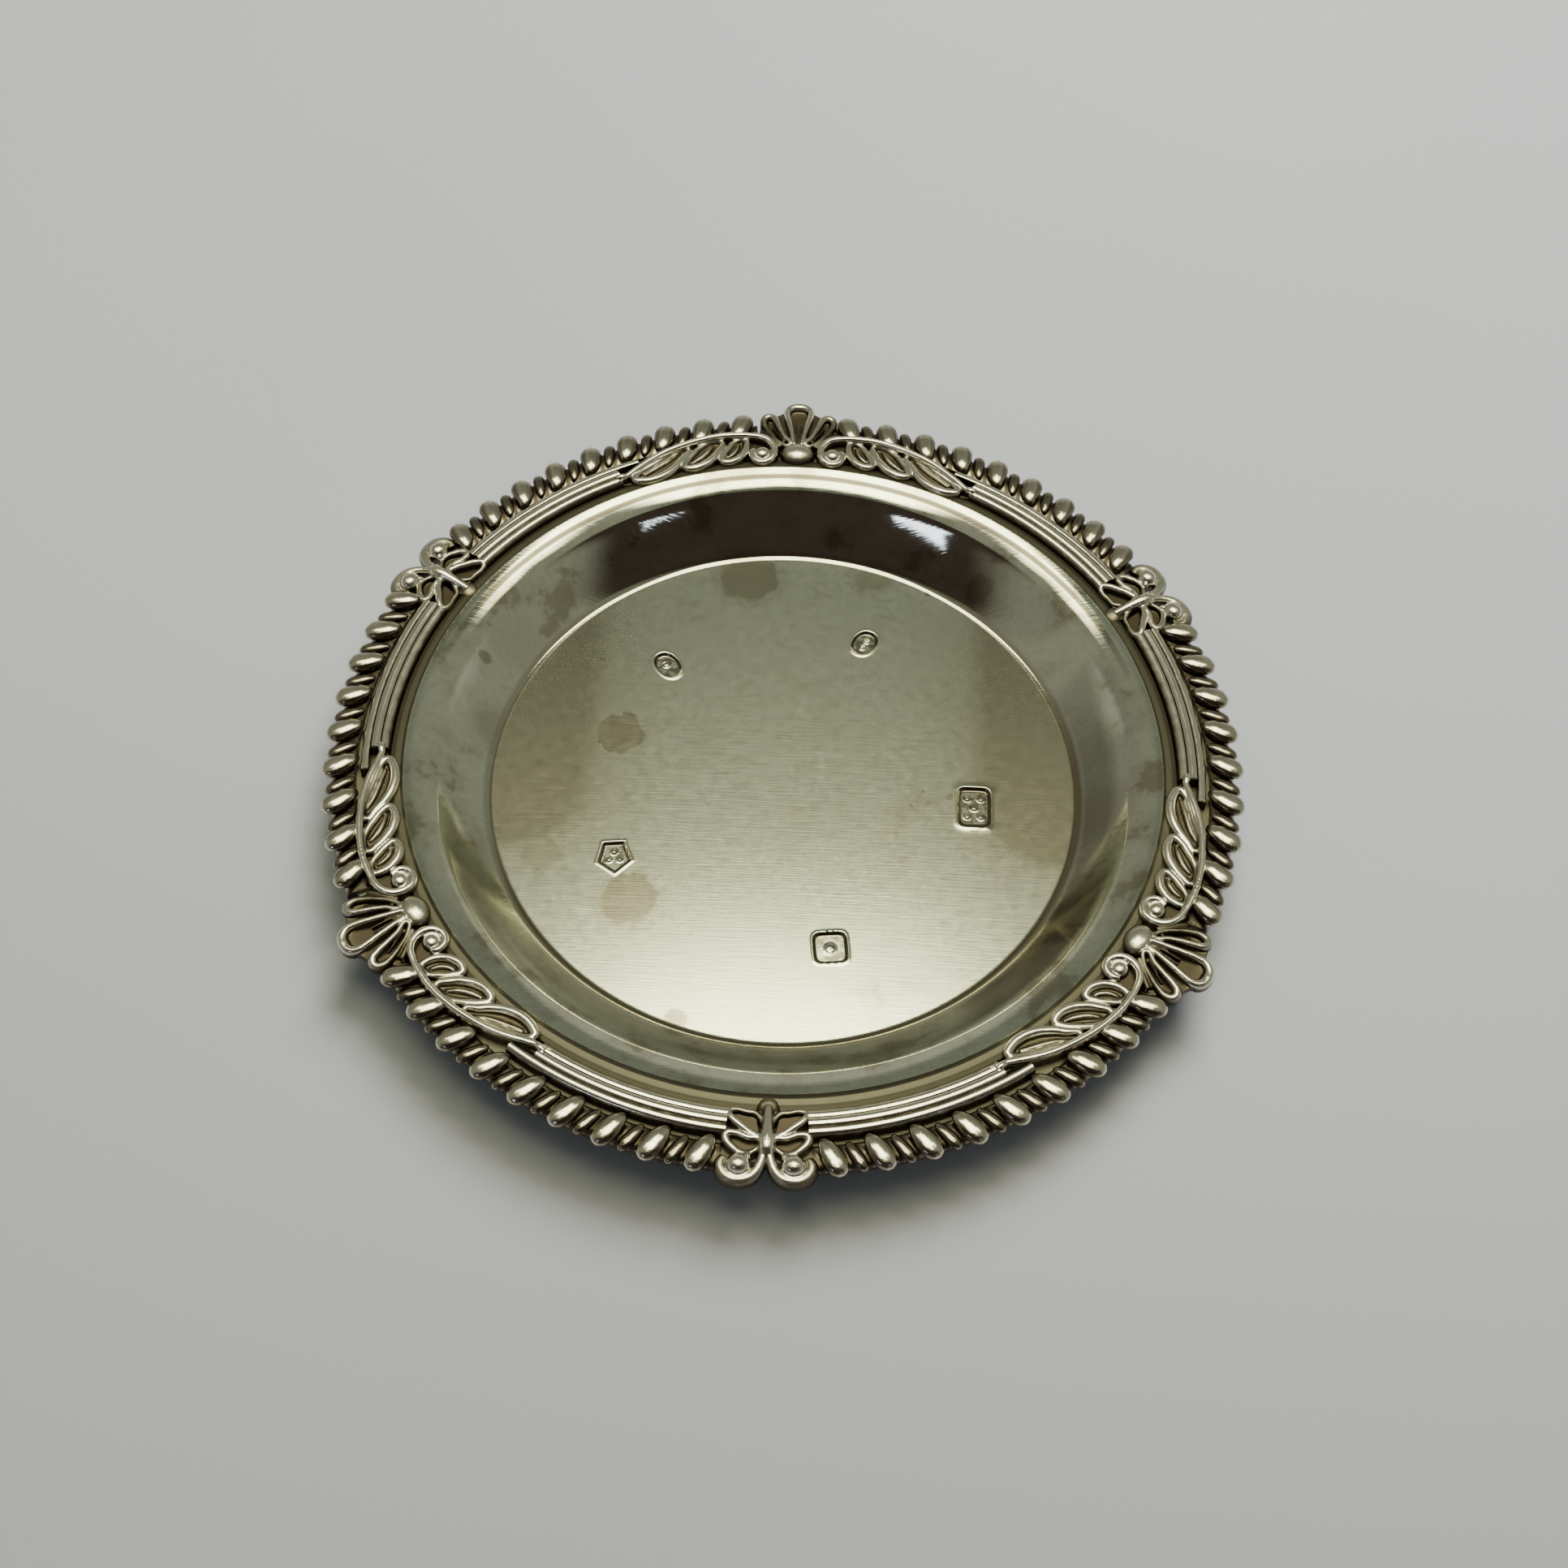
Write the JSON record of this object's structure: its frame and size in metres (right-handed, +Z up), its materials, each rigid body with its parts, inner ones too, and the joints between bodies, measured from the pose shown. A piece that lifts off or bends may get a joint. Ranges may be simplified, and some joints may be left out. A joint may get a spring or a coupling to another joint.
{
  "type": "pin dish",
  "caption": "Small round silver pin dish with a raised border of gadroons, shells, leaf sprays, reeds and bows.",
  "frame": {"origin": "centre of the underside of the floor, which the dish rests on", "axes": "+Z up out of the bowl; +Y through the middle of one shell, so -Y is through a bow"},
  "size_m": [0.0932, 0.0959, 0.0075],
  "materials": {
    "sheet_silver": "worn polish with tarnish",
    "mount_silver": "bright highs with dark tarnished recesses"
  },
  "bodies": {
    "root": {"dish_body": "sheet_silver", "gadroon_edge_left_1": "mount_silver", "gadroon_edge_left_2": "mount_silver", "gadroon_edge_left_3": "mount_silver", "gadroon_edge_right_1": "mount_silver", "gadroon_edge_right_2": "mount_silver", "gadroon_edge_right_3": "mount_silver", "leaf_spray_left_1": "mount_silver", "leaf_spray_left_2": "mount_silver", "leaf_spray_left_3": "mount_silver", "leaf_spray_right_1": "mount_silver", "leaf_spray_right_2": "mount_silver", "leaf_spray_right_3": "mount_silver", "reed_band_left_1": "mount_silver", "reed_band_left_2": "mount_silver", "reed_band_left_3": "mount_silver", "reed_band_right_1": "mount_silver", "reed_band_right_2": "mount_silver", "reed_band_right_3": "mount_silver", "shell_mount_1": "mount_silver", "shell_mount_2": "mount_silver", "shell_mount_3": "mount_silver", "bow_clasp_1": "mount_silver", "bow_clasp_2": "mount_silver", "bow_clasp_3": "mount_silver"}
  },
  "joints": []
}
